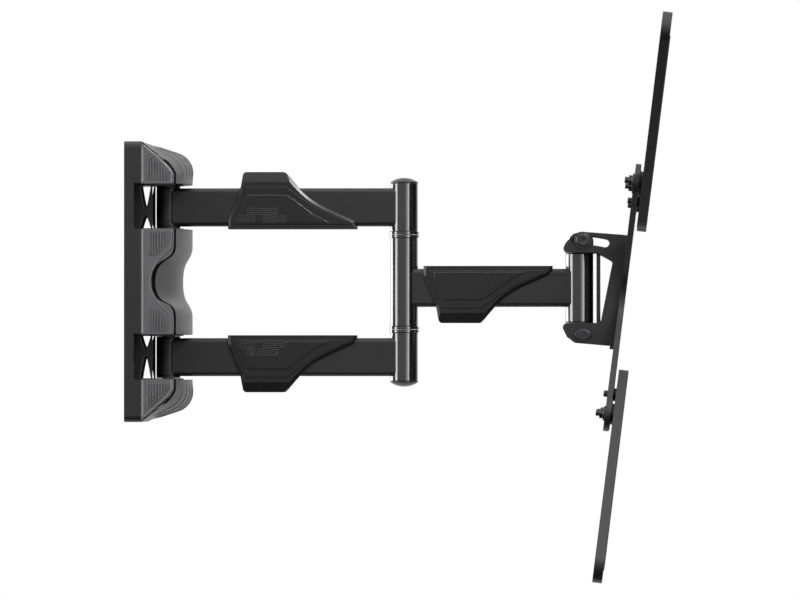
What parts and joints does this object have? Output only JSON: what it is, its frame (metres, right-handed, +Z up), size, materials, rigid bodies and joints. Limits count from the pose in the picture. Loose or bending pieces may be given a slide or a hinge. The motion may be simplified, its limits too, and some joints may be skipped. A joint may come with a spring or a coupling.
{
  "type": "full motion tv wall mount",
  "caption": "Full motion television wall mount: covered wall plate, twin rear arms, front arm, clip-on cable covers and a swivelling, tilting head with an X shaped screen plate.",
  "frame": {"origin": "middle of the wall plate's back face, on the wall", "axes": "+X away from the wall, +Y along the wall, +Z up"},
  "size_m": [0.4287, 0.4382, 0.4358],
  "materials": {
    "powder_coat": "satin black powder coat on steel",
    "gloss_paint": "smooth, glossier black coat on steel tube",
    "cover_plastic": "fine grained black moulding",
    "cap_plastic": "smooth black moulding",
    "bearing_nylon": "plain dark nylon",
    "zinc_steel": "bright zinc plate",
    "black_steel": "black oxide on steel"
  },
  "bodies": {
    "wall_bracket": {"wall_plate": "powder_coat", "upper_pivot_bracket": "powder_coat", "lower_pivot_bracket": "powder_coat", "top_cover": "cover_plastic", "middle_cover": "cover_plastic", "bottom_cover": "cover_plastic", "wall_pivot_bolts": "zinc_steel", "wall_pivot_nuts": "zinc_steel", "wall_pivot_washers": "zinc_steel"},
    "rear_arms": {"upper_rear_arm": "powder_coat", "lower_rear_arm": "powder_coat", "upper_wall_knuckle": "powder_coat", "lower_wall_knuckle": "powder_coat", "upper_wall_bushes": "bearing_nylon", "lower_wall_bushes": "bearing_nylon", "upper_column_tube": "gloss_paint", "lower_column_tube": "gloss_paint", "upper_column_bushes": "bearing_nylon", "lower_column_bushes": "bearing_nylon", "column_bolt": "zinc_steel", "column_nut": "zinc_steel", "column_washers": "zinc_steel", "column_top_cap": "cap_plastic", "column_bottom_cap": "cap_plastic", "upper_cable_cover": "cover_plastic", "lower_cable_cover": "cover_plastic"},
    "fore_arm": {"front_arm": "powder_coat", "middle_column_tube": "gloss_paint", "middle_column_bushes": "bearing_nylon", "head_knuckle": "gloss_paint", "head_bushes": "bearing_nylon", "front_cable_cover": "cover_plastic"},
    "swivel_yoke": {"tilt_yoke": "powder_coat", "swivel_bolt": "zinc_steel", "swivel_nut": "zinc_steel", "swivel_washers": "zinc_steel", "tilt_pivot_bolts": "black_steel", "tilt_pivot_nuts": "black_steel", "tilt_lock_bolts": "black_steel", "tilt_lock_nuts": "black_steel", "tilt_friction_washers": "bearing_nylon"},
    "tilt_head": {"tilt_bracket": "powder_coat", "bracket_rivets": "black_steel", "screen_plate": "powder_coat", "upper_left_extension": "powder_coat", "upper_right_extension": "powder_coat", "lower_left_extension": "powder_coat", "lower_right_extension": "powder_coat", "extension_spacers": "bearing_nylon", "extension_bolts": "black_steel", "extension_nuts": "black_steel", "locating_screws": "black_steel"}
  },
  "joints": [
    {"name": "wall_swivel", "type": "hinge", "parent": "wall_bracket", "child": "rear_arms", "pos_m": [0.032, 0, 0], "axis": [0, 0, 1], "range_deg": [-90, 90]},
    {"name": "elbow_swivel", "type": "hinge", "parent": "rear_arms", "child": "fore_arm", "pos_m": [0.218, 0, 0], "axis": [0, 0, 1], "range_deg": [-105, 105]},
    {"name": "head_swivel", "type": "hinge", "parent": "fore_arm", "child": "swivel_yoke", "pos_m": [0.356, 0, 0], "axis": [0, 0, 1], "range_deg": [-90, 90]},
    {"name": "tilt", "type": "hinge", "parent": "swivel_yoke", "child": "tilt_head", "pos_m": [0.359, 0, -0.0415], "axis": [0, 1, 0], "range_deg": [-12, 3]}
  ]
}
